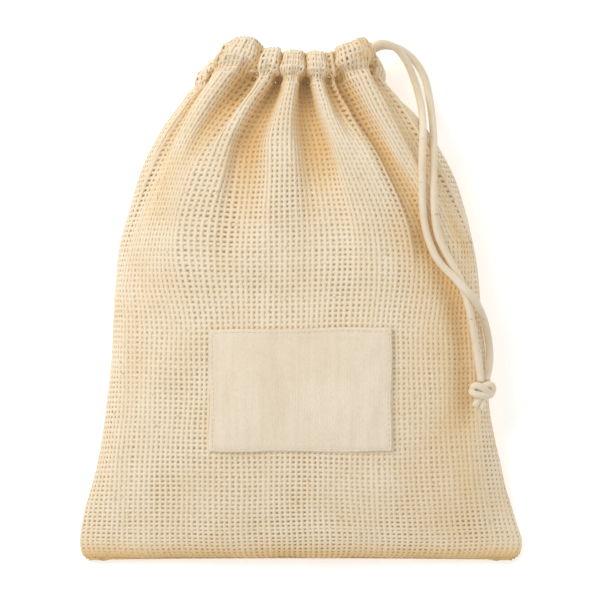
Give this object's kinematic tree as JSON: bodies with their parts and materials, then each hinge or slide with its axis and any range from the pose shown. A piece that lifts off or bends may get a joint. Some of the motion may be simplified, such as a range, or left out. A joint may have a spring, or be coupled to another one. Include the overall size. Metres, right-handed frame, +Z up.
{
  "type": "cotton mesh drawstring bag",
  "caption": "Open-weave cotton mesh bag with a drawstring channel at its gathered mouth, a plain sewn patch and a knotted cord, lying on its back.",
  "frame": {"origin": "centre of the bag's footprint, on the surface that it lies on; the free cord and its knot are left out of this", "axes": "+Y from the folded bottom to the gathered mouth, +Z up through the front face with the patch, +X to the side where the cord leaves"},
  "size_m": [0.2504, 0.2932, 0.0518],
  "materials": {
    "mesh_cloth": "open square weave of natural cotton, matt and soft",
    "patch_cloth": "close plain weave of natural cotton, matt",
    "cord": "soft round cotton cord, matt"
  },
  "bodies": {
    "root": {"bag_body": "mesh_cloth", "label_patch": "patch_cloth", "drawstring_in_channel": "cord", "drawstring_tail_a": "cord", "drawstring_tail_b": "cord", "drawstring_knot": "cord"}
  },
  "joints": []
}
